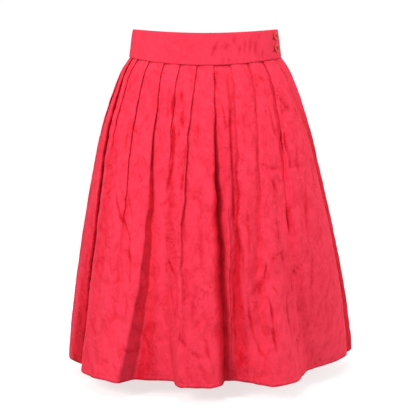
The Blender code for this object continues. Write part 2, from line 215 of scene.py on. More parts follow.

# Creases, in millimetres: where each starts and ends, to the wearer's left of the
# middle of the front or the back, and down from the waistband; how far it bows (+ is to the
# wearer's right where it runs down, and down where it runs across); its height (+ out, - in) and
# its width.
Crease = namedtuple("Crease", "across drop end_across end_drop bow height width")
CREASES_FRONT = tuple(Crease(*row) for row in (
    # The wide pleat at the wearer's right.
    (-157, 220, -144, 266, 0, -2.2, 6), (-146, 258, -128, 304, -2, -2.4, 6),
    (-134, 300, -127, 345, 1, -1.6, 6), (-134, 216, -126, 262, 2, -2.2, 6),
    (-149, 318, -150, 374, 2, -0.9, 6), (-129, 342, -130, 372, 0, -1.2, 5),
    (-137, 385, -137, 424, -2, -1.0, 6), (-158, 400, -156, 440, 1, -0.9, 7),
    (-188, 512, -166, 505, -3, -1.2, 6), (-143, 466, -134, 487, 0, -1.3, 6),
    (-168, 60, -150, 130, 3, -0.8, 7), (-128, 90, -137, 160, 2, -0.8, 7),
    (-150, 150, -158, 236, -3, 0.9, 9), (-120, 180, -138, 330, 4, 0.9, 12),
    # Beneath it, on the valley's floor.
    (-110, 437, -106, 466, 0, -1.8, 6), (-70, 322, -54, 355, 0, -2.6, 7),
    (-66, 364, -59, 408, 2, -1.4, 6), (-84, 400, -78, 450, -2, -1.0, 7),
    (-76, 234, -54, 212, 2, -1.3, 6), (-82, 250, -60, 262, -2, -0.9, 6),
    # Crumpled where two pleats open.
    (-49, 44, -55, 90, 3, -2.2, 7), (-40, 38, -41, 68, -1, -2.0, 7),
    (-54, 96, -56, 168, 1, -3.0, 6), (-56, 160, -70, 216, -2, -3.4, 6),
    (-50, 84, -34, 128, 0, 1.3, 6), (-33, 88, -51, 128, 0, -1.6, 6),
    (-32, 58, -43, 120, 3, -1.4, 6), (-52, 84, -40, 120, -2, 1.3, 7),
    (-55, 98, -57, 170, -2, -1.6, 5), (-30, 128, -35, 168, 2, -1.8, 5),
    (-35, 165, -41, 226, 2, -1.5, 5), (-41, 222, -39, 310, -2, -1.2, 6),
    (-60, 30, -64, 100, 1, -0.9, 6), (-46, 130, -49, 220, 2, 0.9, 8),
    # The middle flute.
    (-49, 445, -34, 467, 2, -1.5, 6), (-27, 440, -8, 420, -2, -1.3, 6),
    (-30, 471, -11, 486, 2, -1.3, 6), (-3, 453, 7, 494, 3, -1.3, 6),
    (-17, 497, 2, 509, 1, -1.2, 6), (-38, 330, -30, 400, 2, -0.9, 8),
    (-14, 250, -10, 340, -2, -0.9, 8), (-22, 380, -26, 430, 1, -1.0, 7),
    (-8, 60, -14, 150, 2, -0.7, 7), (-6, 190, -12, 240, 1, -0.9, 7),
    # Beside it, where the next pleat starts.
    (11, 6, 22, 52, 0, -1.3, 5), (22, 50, 34, 114, -2, -1.2, 5),
    (35, 2, 42, 72, 1, -1.4, 5), (41, 62, 46, 195, 1, -2.8, 5), (46, 180, 49, 275, 0, -2.8, 6),
    (30, 150, 33, 230, 1, -0.8, 7), (28, 250, 34, 330, -2, 0.9, 9),
    # The narrow pleats right of the middle.
    (52, 371, 55, 433, 1, -2.2, 6), (55, 430, 63, 477, 2, -1.8, 6),
    (62, 60, 66, 140, 1, -0.7, 7), (68, 240, 72, 330, -2, -1.1, 8),
    (73, 389, 87, 466, 3, -1.6, 5), (87, 462, 99, 490, 2, -1.5, 5),
    (73, 386, 88, 365, 2, -1.4, 5), (98, 330, 90, 366, -2, -2.0, 5),
    (90, 363, 92, 385, 1, -1.8, 5), (101, 388, 108, 433, -1, -2.2, 5),
    (108, 430, 114, 482, 2, -2.0, 5), (60, 300, 64, 360, 1, -1.0, 7),
    # Crumpled below the side opening.
    (87, 22, 111, 34, 3, -0.8, 7), (93, 42, 107, 57, 2, -0.8, 7),
    (122, 62, 140, 82, 2, -0.9, 7), (126, 88, 142, 78, -2, -0.8, 7),
    (106, 66, 124, 136, 2, -1.0, 6), (130, 115, 139, 160, 4, -2.0, 6),
    (139, 158, 141, 182, 0, -1.6, 6), (124, 58, 130, 96, 2, -0.9, 7),
    (92, 172, 135, 179, 2, -1.3, 7), (132, 177, 165, 179, -1, -0.8, 7),
    (111, 194, 122, 217, 1, -1.6, 6), (118, 190, 130, 204, -1, -1.2, 6),
    # The wide pleat at the wearer's left.
    (141, 238, 150, 294, 1, -2.0, 7), (139, 388, 152, 458, 2, -1.8, 10),
    (103, 328, 132, 320, -2, -1.5, 5), (130, 319, 140, 334, 2, -1.4, 5),
    (129, 404, 140, 421, 1, -1.3, 6), (153, 369, 178, 336, -2, -1.5, 5),
    (156, 372, 162, 391, 1, -1.2, 5), (160, 478, 190, 459, 2, -1.7, 5),
    (189, 460, 208, 446, -1, -1.4, 5), (150, 130, 158, 200, 3, -0.9, 8),
    (168, 210, 176, 300, 3, -1.0, 9), (186, 320, 196, 410, 2, -1.0, 9),
    (150, 300, 166, 345, -3, 1.0, 9), (172, 400, 182, 440, 2, -1.1, 7),
    (120, 250, 128, 310, 2, -1.2, 7), (160, 60, 168, 130, 3, -0.8, 8),
))
CREASES_BACK = tuple(Crease(*row) for row in (
    (150, 60, 164, 140, 2, -1.2, 7), (172, 160, 190, 290, 4, -1.2, 8),
    (120, 90, 134, 175, -2, -1.3, 6), (140, 250, 168, 330, 3, -1.5, 7),
    (96, 40, 110, 68, 2, -1.5, 6), (84, 120, 92, 200, 2, -1.2, 6),
    (108, 300, 118, 400, 3, -1.5, 6), (150, 420, 180, 440, 2, -1.5, 6),
    (58, 60, 50, 130, -2, -1.4, 6), (62, 210, 70, 260, 1, -1.6, 6),
    (36, 300, 60, 330, 2, -1.5, 5), (70, 440, 92, 470, 2, -1.4, 6),
    (16, 40, 22, 110, 2, -1.6, 6), (24, 180, 20, 260, -2, -1.2, 6),
    (4, 350, 18, 420, 2, -1.6, 6), (-12, 90, -18, 170, -2, -1.3, 6),
    (-30, 230, -8, 244, 2, -1.7, 5), (-40, 310, -30, 380, 2, -1.4, 6),
    (-26, 450, -6, 474, -2, -1.3, 6), (-56, 50, -66, 120, -2, -1.6, 6),
    (-72, 190, -60, 250, 3, -1.3, 6), (-84, 330, -62, 350, 2, -1.6, 6),
    (-90, 400, -82, 470, 2, -1.4, 6), (-100, 80, -112, 160, -2, -1.4, 6),
    (-120, 210, -106, 280, 3, -1.2, 7), (-130, 340, -110, 366, 2, -1.6, 6),
    (-128, 430, -140, 480, -2, -1.3, 6), (-146, 120, -158, 210, -2, -1.3, 7),
    (-166, 260, -150, 330, 3, -1.4, 7), (-180, 380, -160, 420, 2, -1.5, 6),
))
# The band's own, down from its top.
CREASES_BAND_FRONT = tuple(Crease(*row) for row in (
    (25, 9, 11, 35, 2, -1.3, 6), (39, 15, 31, 28, 1, -1.1, 5), (50, 3, 47, 17, 0, -0.9, 5),
    (59, 18, 57, 36, 1, -0.7, 5), (68, 10, 66, 36, 1, -0.9, 5), (77, 8, 74, 40, 1, -1.0, 5),
    (86, 13, 84, 40, 1, -1.0, 5), (31, 36, 29, 52, 0, -0.9, 5), (40, 37, 39, 50, 0, -1.0, 5),
    (97, 28, 97, 47, 0, -1.3, 5), (18, 22, 30, 12, 1, 0.7, 8), (52, 40, 53, 52, 0, -0.7, 5),
    (104, 36, 101, 46, 0, -0.8, 4), (91, 4, 90, 14, 0, -0.7, 5), (63, 38, 64, 48, 0, -0.7, 4),
    (-60, 12, -40, 15, 1, -0.3, 8), (-100, 20, -92, 40, 1, -0.3, 8),
    (-14, 40, -12, 52, 0, -0.4, 6),
))
CREASES_BAND_BACK = tuple(Crease(*row) for row in (
    (98, 10, 92, 38, 1, -0.6, 6), (70, 14, 58, 40, 2, -0.7, 7), (44, 8, 42, 30, 1, -0.5, 6),
    (22, 18, 6, 40, 2, -0.8, 7), (-12, 10, -16, 36, 1, -0.5, 6), (-40, 12, -30, 42, 2, -0.7, 7),
    (-66, 14, -70, 40, 1, -0.6, 6), (-94, 10, -90, 36, 1, -0.6, 6),
))


def mix(first, last, share):
    return first + (last - first) * share


def ease(share):
    share = min(max(share, 0.0), 1.0)
    return share * share * (3.0 - 2.0 * share)


def read_table(rows, key, column):
    """The column's value at the key, on a smooth curve through the rows."""
    keys = [row[0] for row in rows]
    at = min(max(bisect.bisect_right(keys, key) - 1, 0), len(rows) - 2)

    def slope(row):
        low, high = max(row - 1, 0), min(row + 1, len(rows) - 1)
        return (rows[high][column] - rows[low][column]) / (keys[high] - keys[low])

    span = keys[at + 1] - keys[at]
    share = (key - keys[at]) / span
    bend = ease(share)
    start = share * (1.0 - share) ** 2 * span * slope(at)
    end = share * share * (1.0 - share) * span * slope(at + 1)
    return mix(rows[at][column], rows[at + 1][column], bend) + start - end


def turn_at(band, hip, hem, share):
    """The turn at a share of the drop, on the parabola through band, hip and hem."""
    past_hip = (share - HIP_SHARE) * (share - 1.0) / HIP_SHARE
    at_hip = share * (share - 1.0) / (HIP_SHARE * (HIP_SHARE - 1.0))
    at_hem = share * (share - HIP_SHARE) / (1.0 - HIP_SHARE)
    return band * past_hip + hip * at_hip + hem * at_hem


def outline_points(turns, inward, share):
    """Points on the skirt at these turns, this far inside its outline, at a share of the drop."""
    drop = share * SKIRT_LENGTH
    angle = np.radians(turns)
    depth = np.where(
        np.cos(angle) > 0.0, read_table(RINGS, drop, 2), read_table(RINGS, drop, 3)) - inward
    half_width = read_table(RINGS, drop, 1) - inward
    seam_z = BAND_TOP_Z - BAND_HEIGHT - BAND_SEAM_DIP * np.cos(angle) ** 2
    hem_z = BAND_TOP_Z - BAND_HEIGHT - SKIRT_LENGTH
    x = half_width * np.sin(angle) + HEM_SWAY * share
    y = -depth * np.cos(angle)
    return np.column_stack((x, y, mix(seam_z - BAND_CLEARANCE, hem_z, share)))


def ring_radius(share):
    """The radius by which turns and lengths round the skirt are compared."""
    drop = share * SKIRT_LENGTH
    return 0.5 * (read_table(RINGS, drop, 1) + read_table(RINGS, drop, 2))


def metres_to_turn(length, share):
    return math.degrees(length / ring_radius(share))


def folded_stations(pleat):
    """A pleat's eight stations as they are folded at the band: turn and inward depth."""
    tuck = metres_to_turn(TUCK, 0.0)
    bend = metres_to_turn(FOLD_RADIUS, 0.0)
    clear = metres_to_turn(EDGE_CLEARANCE, 0.0)
    stations = [
        (-tuck, 0.0), (-bend, 0.0), (0.0, 0.5), (-bend, 1.0),
        (-tuck + bend, 1.0), (-tuck, 1.5), (-tuck + bend, 2.0), (clear, 2.0),
    ]
    if pleat.facing < 0:
        stations = [(-turn, layer) for turn, layer in reversed(stations)]
    return [(pleat.band + turn, layer * LAYER_STEP) for turn, layer in stations]


def fold_ends(pleat, at_hem):
    """A pleat's two folds at the hem or the hip, in order of turn, as (turn, depth, swell)."""
    edge = pleat.edge_hem if at_hem else pleat.edge_hip
    inner = pleat.inner_hem if at_hem else pleat.inner_hip
    return (edge, inner) if pleat.facing > 0 else (inner, edge)


def open_stations(first, last, before, after):
    """A pleat's stations where it is open, from its two folds and the folds on either side."""
    def between(start, end, shares, swell):
        along, deep = shares
        depth = mix(start[1], end[1], deep) - swell
        return (mix(start[0], end[0], along), MM * depth)

    return [
        between(before, first, FAR_STATION, first[2]),
        between(before, first, NEAR_STATION, NEAR_SWELL * first[2]),
        *(between(first, last, shares, 0.0) for shares in FOLD_STATIONS),
        between(after, last, NEAR_STATION, NEAR_SWELL * last[2]),
        between(after, last, FAR_STATION, last[2]),
    ]


def end_stations(stations, level):
    """Where the panel's end stations lie at the band, the hip or the hem."""
    if level == "band":
        return [(station.band, station.layer * LAYER_STEP) for station in stations]
    if level == "hip":
        return [(station.hip, MM * station.hip_depth) for station in stations]
    return [(station.hem, MM * station.hem_depth) for station in stations]


def panel_level(pleats, start, end, level):
    """All stations of a panel at the band, the hip or the hem."""
    first_end, last_end = end_stations(start, level), end_stations(end, level)
    row = list(first_end)
    if level == "band":
        for pleat in pleats:
            row.extend(folded_stations(pleat))
    else:
        folds = [fold for pleat in pleats for fold in fold_ends(pleat, level == "hem")]
        folds.insert(0, (first_end[-1][0], first_end[-1][1] / MM, 0.0))
        folds.append((last_end[0][0], last_end[0][1] / MM, 0.0))
        for place in range(1, len(folds) - 1, 2):
            before, first, last, after = folds[place - 1:place + 3]
            row.extend(open_stations(first, last, before, after))
    return row + last_end


def panel_row(levels, share):
    """The panel's stations at a share of the drop, on curves through its three levels."""
    return [
        tuple(turn_at(*values, share) for values in zip(*station))
        for station in zip(*levels)
    ]


def seam_stations(stations, whole_turns, side):
    """Stations moved by whole turns round the waist, and half a seam's gap to one side."""
    moved = 360.0 * whole_turns + side * metres_to_turn(0.5 * SIDE_SEAM_GAP, 0.0)
    return tuple(
        station._replace(
            band=station.band + moved, hip=station.hip + moved, hem=station.hem + moved)
        for station in stations
    )


# Cloth made finer than the solids: rounded folds, creases and crinkle.


def rounded_stretch(points, place, reach):
    """The line from the middle of one station's rounding to the middle of the next one's."""
    ends = []
    for here, there in ((place, place + 1), (place + 1, place)):
        corner = points[here]
        ahead = points[there] - corner
        length = max(math.hypot(*ahead), 1e-6)
        leave = corner + ahead * min(0.5, reach / length)
        beyond = 2 * here - there
        middle = corner
        if 0 <= beyond < len(points):
            behind = points[beyond] - corner
            length = max(math.hypot(*behind), 1e-6)
            arrive = corner + behind * min(0.5, reach / length)
            middle = 0.25 * arrive + 0.5 * corner + 0.25 * leave
        handle = 0.5 * (corner + leave)
        half = [
            middle * (1 - t) ** 2 + handle * 2 * t * (1 - t) + leave * t * t
            for t in (0.0, 0.25, 0.5, 0.75, 1.0)
        ]
        ends.append(half)
    return np.array(ends[0] + ends[1][::-1])


def fine_row(points, counts, reach):
    """A row's stations joined by a rounded line, in this many even steps a stretch."""
    row = []
    for place, count in enumerate(counts):
        path = rounded_stretch(points, place, reach)
        run = np.concatenate(([0.0], np.cumsum(np.hypot(*np.diff(path, axis=0).T))))
        at = np.linspace(0.0, run[-1], count + 1)[:-1]
        row.append(np.column_stack([np.interp(at, run, path[:, axis]) for axis in (0, 1)]))
    row.append(points[-1:])
    return np.vstack(row)


def shade_row(pleats, shades, counts, starts, share):
    """Painted shade at each point of a fine row, from which pleat's fold it lies in.

    A panel that starts with more than one station starts beneath the other panel, and is painted
    darker there.
    """
    beneath = UNDER_SHADE * ease(share / UNDER_SHADE_SHARE) if starts > 1 else 0.0
    stations = [beneath] * starts
    lower = max(0.0, (share - HIP_SHARE) / (1.0 - HIP_SHARE))
    for pleat, (at_hip, at_hem, before, beyond) in zip(pleats, shades):
        if share < HIP_SHARE:
            shade = mix(BAND_SHADE, at_hip, share / HIP_SHARE)
        else:
            shade = mix(at_hip, at_hem, lower)
        under = max(beneath if len(stations) == starts else 0.0, before * lower)
        fold = [0.9 * under, 0.5 * under + 0.5 * before * lower]
        fold += [shade * part for part in FOLD_SHADES[:4]]
        fold += [max(shade * part, beyond * lower) for part in FOLD_SHADES[4:]]
        stations += fold if pleat.facing > 0 else fold[::-1]
    stations += [0.0] * (len(counts) + 1 - len(stations))
    row = [
        np.linspace(first, second, count, endpoint=False)
        for first, second, count in zip(stations, stations[1:], counts)
    ]
    return np.concatenate(row + [stations[-1:]])


def row_shares():
    """Shares of the drop at which the cloth's rows lie, closer near the band."""
    power, even = ROW_CROWDING
    shares = [mix(place ** power, place, even) for place in np.linspace(0.0, 1.0, CLOTH_ROWS)]
    shares += [(HEM_LINE_DROP + HEM_LINE_ROW * step) / SKIRT_LENGTH for step in (-1, 0, 1)]
    return sorted(shares)


def crease_heights(turns, drop, creases, rings):
    """How far the creases move the points of one row outward, in metres."""
    half_width = read_table(rings, drop, 1)
    along = half_width * np.radians(turns)
    height = np.zeros_like(along)
    for crease in creases:
        margin = crease.width + abs(crease.bow)
        rows = sorted((crease.drop, crease.end_drop))
        if not rows[0] - margin < drop / MM < rows[1] + margin:
            continue
        ends = []
        for across, down in ((crease.across, crease.drop), (crease.end_across, crease.end_drop)):
            width = read_table(rings, MM * down, 1)
            angle = math.asin(min(max(MM * across / width, -1.0), 1.0))
            ends.append((width * angle, MM * down))
        start, end = np.array(ends)
        length = math.hypot(*(end - start))
        ahead = (end - start) / length
        east, south = along - start[0], drop - start[1]
        run = (east * ahead[0] + south * ahead[1]) / length
        bow = 4.0 * MM * crease.bow * run * (1.0 - run)
        aside = south * ahead[0] - east * ahead[1] - bow
        taper = np.sin(np.pi * np.clip(run, 0.0, 1.0)) ** CREASE_TAPER
        spread = 0.5 * MM * crease.width * mix(CREASE_END_WIDTH, 1.0, taper)
        height += MM * crease.height * taper * np.exp(-(aside / spread) ** 2)
    return height


def waver(turns, drop):
    """How far the folds stray to one side at these turns, in degrees."""
    angles = np.radians(turns)
    strays = [
        sum(part * noise.noise(Vector((fine * across, fine * ahead, down * drop)))
            for part, fine, down in WAVER_WAVES)
        for across, ahead in zip(np.sin(angles), np.cos(angles))
    ]
    return WAVER * ease(drop / WAVER_START) * np.array(strays)


def uneven_waves(runs, drop, waves, seed):
    """The sum of these waves at the points of one row."""
    return np.array([
        sum(height * noise.noise(Vector((run * along, drop * down, seed + shift)))
            for height, along, down, shift in waves)
        for run in runs
    ])


def crinkle_heights(runs, drop, seed):
    """The small waves and sharp folds that crumpled cotton keeps, in metres, along one row."""
    from_fold = np.abs(uneven_waves(runs, drop, CRINKLE_FOLDS, seed)) / CRINKLE_FOLD_WIDTH
    folds = CRINKLE_FOLD_DEPTH * np.maximum(0.0, 1.0 - from_fold)
    return uneven_waves(runs, drop, CRINKLE_WAVES, seed) - folds


def add_mesh(name, verts, faces):
    """A smooth object in the scene."""
    mesh = bpy.data.meshes.new(name)
    mesh.from_pydata(verts, [], faces)
    mesh.shade_smooth()
    made = bpy.data.objects.new(name, mesh)
    bpy.context.scene.collection.objects.link(made)
    return made


def add_cloth_values(mesh, uvs, painted_shade):
    """Gives each point the cloth's own coordinates, and the painted shade of the folds and creases
    it lies in.
    """
    layer = mesh.uv_layers.new(name="cloth")
    corners = np.empty(len(mesh.loops), np.int32)
    mesh.loops.foreach_get("vertex_index", corners)
    layer.data.foreach_set("uv", uvs[corners].ravel())
    depth = mesh.attributes.new(name="painted_shade", type="FLOAT", domain="POINT")
    depth.data.foreach_set("value", painted_shade)


def build_sheet(name, rows, uvs, painted_shade, wall):
    """A shell of this thickness through rows of points."""
    width = len(rows[0])
    faces = [
        (low + place, low + place + width, low + place + width + 1, low + place + 1)
        for low in range(0, width * (len(rows) - 1), width)
        for place in range(width - 1)
    ]
    sheet = add_mesh(name, np.vstack(rows).tolist(), faces)
    add_cloth_values(sheet.data, np.vstack(uvs), np.concatenate(painted_shade))
    shell = sheet.modifiers.new("Wall", "SOLIDIFY")
    shell.thickness = wall
    shell.offset = 0.0
    return sheet


def build_panel(name, pleats, shades, start, end, spacing, seed, seam_point):
    """The front or the back; its first or last point, seam_point, lies in the side seam."""
    shares = row_shares()
    levels = [panel_level(pleats, start, end, level) for level in ("band", "hip", "hem")]
    stations = []
    for share in shares:
        radius = ring_radius(share)
        stations.append(np.array([
            (math.radians(turn) * radius, inward) for turn, inward in panel_row(levels, share)
        ]))
    lengths = [np.hypot(*np.diff(row, axis=0).T) for row in stations]
    counts = np.maximum(np.ceil(np.max(lengths, axis=0) / spacing), 2).astype(int)
    rows, uvs, painted_shade = [], [], []
    for share, row in zip(shares, stations):
        fine = fine_row(row, counts, mix(*FOLD_ROUNDING, share))
        turns = np.degrees(fine[:, 0] / ring_radius(share))
        run = np.concatenate(([0.0], np.cumsum(np.hypot(*np.diff(fine, axis=0).T))))
        run -= 0.5 * run[-1]
        drop = share * SKIRT_LENGTH
        turns = turns + waver(turns, drop)
        at_back = np.cos(np.radians(turns)) < 0.0
        creases = np.where(
            at_back, crease_heights(180.0 - turns, drop, CREASES_BACK, RINGS),
            crease_heights(turns, drop, CREASES_FRONT, RINGS))
        hem_line = math.exp(-((drop - HEM_LINE_DROP) / HEM_LINE_WIDTH) ** 2)
        creases = creases - HEM_LINE_DEPTH * hem_line
        crinkle = crinkle_heights(run, drop, seed)
        from_seam = np.abs(run - run[seam_point])
        free = ease(share / SMOOTH_SHARE) * np.minimum(from_seam / SEAM_FLAT, 1.0)
        rows.append(outline_points(turns, fine[:, 1] - (creases + crinkle) * free, share))
        uvs.append(np.column_stack((run, np.full_like(run, -drop))))
        # Painted shade: creases, crinkle and the hem's stitch line darken with their depth, and
        # each pleat's fold with the shade_row values.
        crease_shade_mask = np.clip(-(creases + CRINKLE_SHADE * crinkle) / PRESSED_DEPTH, 0.0, 1.0)
        shade = shade_row(pleats, shades, counts, len(start), share)
        painted_shade.append(np.maximum(CREASE_SHADE * crease_shade_mask * free, shade))
    return build_sheet(name, rows, uvs, painted_shade, CLOTH_WALL)


def band_point(turn, down, outward):
    """A point a share of the way down the band, this far outside its middle."""
    angle = math.radians(turn)
    dip = mix(BAND_TOP_DIP, BAND_SEAM_DIP, down) * math.cos(angle) ** 2
    return Vector((
        (read_table(BAND_RINGS, down, 1) + outward) * math.sin(angle),
        -(read_table(BAND_RINGS, down, 2) + outward) * math.cos(angle),
        BAND_TOP_Z - BAND_HEIGHT * down - dip,
    ))


def band_inset(turn):
    """How far in the band lies: its first end goes under the lap, then rises to the outside."""
    under = BAND_WALL + BAND_LAP_GAP
    return under * (1.0 - ease((turn - LAP_TURN - LAP_CLEAR_TURN) / BAND_RISE_TURN))


def band_section(rows):
    """Round the band's wall: share of the way down and share of half the wall outward."""
    edge = BAND_WALL / BAND_HEIGHT
    bend, bend_side = 0.3 * edge, 0.8
    section = [(mix(edge, 1.0 - edge, row / rows), 1.0) for row in range(rows + 1)]
    section += [(1.0 - bend, bend_side), (1.0, 0.0), (1.0 - bend, -bend_side)]
    section += [(mix(1.0 - edge, edge, row / rows), -1.0) for row in range(rows + 1)]
    section += [(bend, -bend_side), (0.0, 0.0), (bend, bend_side)]
    return section


def band_wrinkles(turns, down):
    """How far the band's cloth stands out or in along a line round it, in metres."""
    drop = down * BAND_HEIGHT
    rings = [(ring[0] * BAND_HEIGHT, *ring[1:]) for ring in BAND_RINGS]
    at_back = np.cos(np.radians(turns)) < 0.0
    heights = np.where(
        at_back, crease_heights(180.0 - turns, drop, CREASES_BAND_BACK, rings),
        crease_heights((turns + 180.0) % 360.0 - 180.0, drop, CREASES_BAND_FRONT, rings))
    waves = uneven_waves(np.radians(turns) * BAND_RADIUS, drop, BAND_WAVES, 0.0)
    return (heights + waves) * math.sin(math.pi * down) ** BAND_EDGE_POWER


def build_band():
    section = band_section(BAND_ROWS)
    turns = np.linspace(UNDERLAP_TURN, LAP_TURN + 360.0, BAND_STEPS + 1)
    wrinkles = {down: band_wrinkles(turns, down) for down in {place[0] for place in section}}
    verts, uvs, painted_shade = [], [], []
    for step, turn in enumerate(turns):
        for down, side in section:
            wrinkle = wrinkles[down][step]
            outward = 0.5 * BAND_WALL * side - band_inset(turn) + wrinkle
            verts.append(band_point(turn, down, outward))
            uvs.append((math.radians(turn) * BAND_RADIUS, -down * BAND_HEIGHT))
            # Painted shade: the band's wrinkles are darker the deeper they lie in.
            painted_shade.append(CREASE_SHADE * min(max(-wrinkle / BAND_PRESSED_DEPTH, 0.0), 1.0))
    around = len(section)
    faces = [
        (low + place, low + (place + 1) % around,
         low + around + (place + 1) % around, low + around + place)
        for low in range(0, around * BAND_STEPS, around)
        for place in range(around)
    ]
    faces.append(tuple(reversed(range(around))))
    faces.append(tuple(range(around * BAND_STEPS, around * (BAND_STEPS + 1))))
    band = add_mesh("waistband_cloth", verts, faces)
    add_cloth_values(band.data, np.array(uvs), painted_shade)
    band.data.set_sharp_from_angle(angle=math.radians(60.0))
    return band


def build_tubes(name, lines, outward, section, closed):
    """A tube along each line of points, its section half its width and half its height."""
    verts, faces, around = [], [], TUBE_CORNERS
    for line in lines:
        low = len(verts)
        for place, point in enumerate(line):
            if closed:
                ahead = line[(place + 1) % len(line)] - line[place - 1]
            else:
                ahead = line[min(place + 1, len(line) - 1)] - line[max(place - 1, 0)]
            aside = ahead.cross(outward).normalized()
            lift = aside.cross(ahead).normalized()
            half_width, half_height = (STITCH_SWELL[place % 2] * half for half in section)
            for corner in range(around):
                angle = 2.0 * math.pi * corner / around
                verts.append(
                    point + aside * half_width * math.cos(angle)
                    + lift * half_height * math.sin(angle))
        steps = len(line) if closed else len(line) - 1
        for step in range(steps):
            here, there = low + step * around, low + (step + 1) % len(line) * around
            faces += [
                (here + place, here + (place + 1) % around, there + (place + 1) % around,
                 there + place)
                for place in range(around)
            ]
        if not closed:
            faces.append(tuple(range(low, low + around))[::-1])
            faces.append(tuple(range(len(verts) - around, len(verts))))
    return add_mesh(name, verts, faces)


def button_place(turn, height):
    """The middle of the button's foot and its axes: along the band, up it and outward."""
    down = (BAND_TOP_Z - height) / BAND_HEIGHT
    nearby_turn, nearby_down = 1.0, 0.1
    centre, left, right, below, above = (
        band_point(turn + aside, down + lower, 0.0) for aside, lower in (
            (0.0, 0.0), (nearby_turn, 0.0), (-nearby_turn, 0.0),
            (0.0, nearby_down), (0.0, -nearby_down)))
    across = (left - right).normalized()
    outward = (below - above).cross(across).normalized()
    foot = centre + outward * (0.5 * BAND_WALL + BUTTON_GAP)
    return foot, across, outward.cross(across), outward


def build_stitches(name, turn, height):
    """The crossed threads through a button's four holes."""
    foot, across, upward, outward = button_place(turn, height)
    above_button = BUTTON_THICKNESS * BUTTON_DISH + 0.0005
    over_other, dive, dive_from = 0.0003, 0.0020, 0.55
    reach, half_steps = 1.08 * BUTTON_HOLE_SPREAD, 6
    lines = []
    for slant in (-1.0, 1.0):
        line = []
        for step in range(-half_steps, half_steps + 1):
            share = step / half_steps
            lift = above_button - dive * max(0.0, abs(share) - dive_from)
            lift += over_other * slant * (1.0 - share * share)
            line.append(foot + reach * share * (across + slant * upward) + lift * outward)
        lines.append(line)
    return build_tubes(name, lines, outward, THREAD_RIM, False)


def build_buttonhole(name, turn, height):
    """The stitched rim of the slit that the button goes through, part of it beneath the button."""
    down = (BAND_TOP_Z - height) / BAND_HEIGHT
    line, count = [], 60
    for step in range(count):
        angle = 2.0 * math.pi * step / count
        from_middle = 0.5 * BUTTONHOLE_SIZE[0] * math.cos(angle)
        along = BUTTONHOLE_SHIFT[0] + from_middle
        aside = BUTTONHOLE_SHIFT[1] + 0.5 * BUTTONHOLE_SIZE[1] * math.sin(angle)
        aside += BUTTONHOLE_SLANT * from_middle
        line.append(band_point(
            turn + math.degrees(along / BUTTONHOLE_BAND_RADIUS), down - aside / BAND_HEIGHT,
            0.5 * BAND_WALL))
    outward = button_place(turn, height)[3]
    return build_tubes(name, [line], outward, BUTTONHOLE_RIM, True)


# Materials. Colours are linear red, green and blue; the deep ones are painted shade for folds,
# creases and the crumple's mottling.

CLOTH_COLOUR, CLOTH_DEEP = (0.86, 0.042, 0.083), (0.62, 0.008, 0.022)
BAND_COLOUR, BAND_DEEP = (0.82, 0.040, 0.080), (0.58, 0.010, 0.024)
BAND_CRUMPLE_AND_SHADE = 0.5                    # how crumpled the band is next to the skirt, and how much painted mottled shade it has
BUTTON_COLOUR = (0.68, 0.040, 0.022)
THREAD_COLOUR = (0.60, 0.016, 0.030)
# The buttonholes' stitches are darker than the thread: painted shade of the slits they rim.
BUTTONHOLE_SHADED_COLOUR = (0.42, 0.008, 0.016)
SPECKLE_SCALE = 420.0
SPECKLE_DEEP = 0.75                # the darkest speckle's share of the colour
DEEPEST = 0.4                      # share of the deep colour in the darkest painted shade
DEEP_AT = 0.6                      # how dark a place is where it has the deep colour
PAINTED_SHADE_WEIGHT = 0.85              # how much the painted shade of folds and creases counts for that


def link(tree, source, socket):
    tree.links.new(source, socket)


def add_material(name, settings):
    """A material whose shader has these settings, and the material's nodes and shader."""
    material = bpy.data.materials.new(name)
    material.use_nodes = True
    shader = material.node_tree.nodes["Principled BSDF"]
    for socket, value in settings.items():
        shader.inputs[socket].default_value = value
    return material, material.node_tree, shader


def node(tree, kind, **settings):
    """A node with these values on its inputs or, where it has no such input, as its settings."""
    made = tree.nodes.new(kind)
    for name, value in settings.items():
        if name in made.inputs:
            made.inputs[name].default_value = value
        else:
            setattr(made, name, value)
    return made


def patches(tree, place, scale, detail, distortion, low, high):
    """Uneven patches as a value from 0 to 1, this fine across and down the cloth."""
    mapping = node(tree, "ShaderNodeMapping")
    mapping.inputs["Scale"].default_value = (*scale, 1.0)
    link(tree, place, mapping.inputs["Vector"])
    texture = node(tree, "ShaderNodeTexNoise", Scale=1.0, Detail=detail, Roughness=0.6,
                   Distortion=distortion)
    link(tree, mapping.outputs["Vector"], texture.inputs["Vector"])
    limits = node(tree, "ShaderNodeMapRange", **{"From Min": low, "From Max": high})
    link(tree, texture.outputs["Fac"], limits.inputs["Value"])
    return limits.outputs["Result"]


def combine(tree, operation, first, second):
    """This operation on two values, of which the second may be a plain number."""
    made = node(tree, "ShaderNodeMath", operation=operation)
    link(tree, first, made.inputs[0])
    if isinstance(second, float):
        made.inputs[1].default_value = second
    else:
        link(tree, second, made.inputs[1])
    return made.outputs[0]


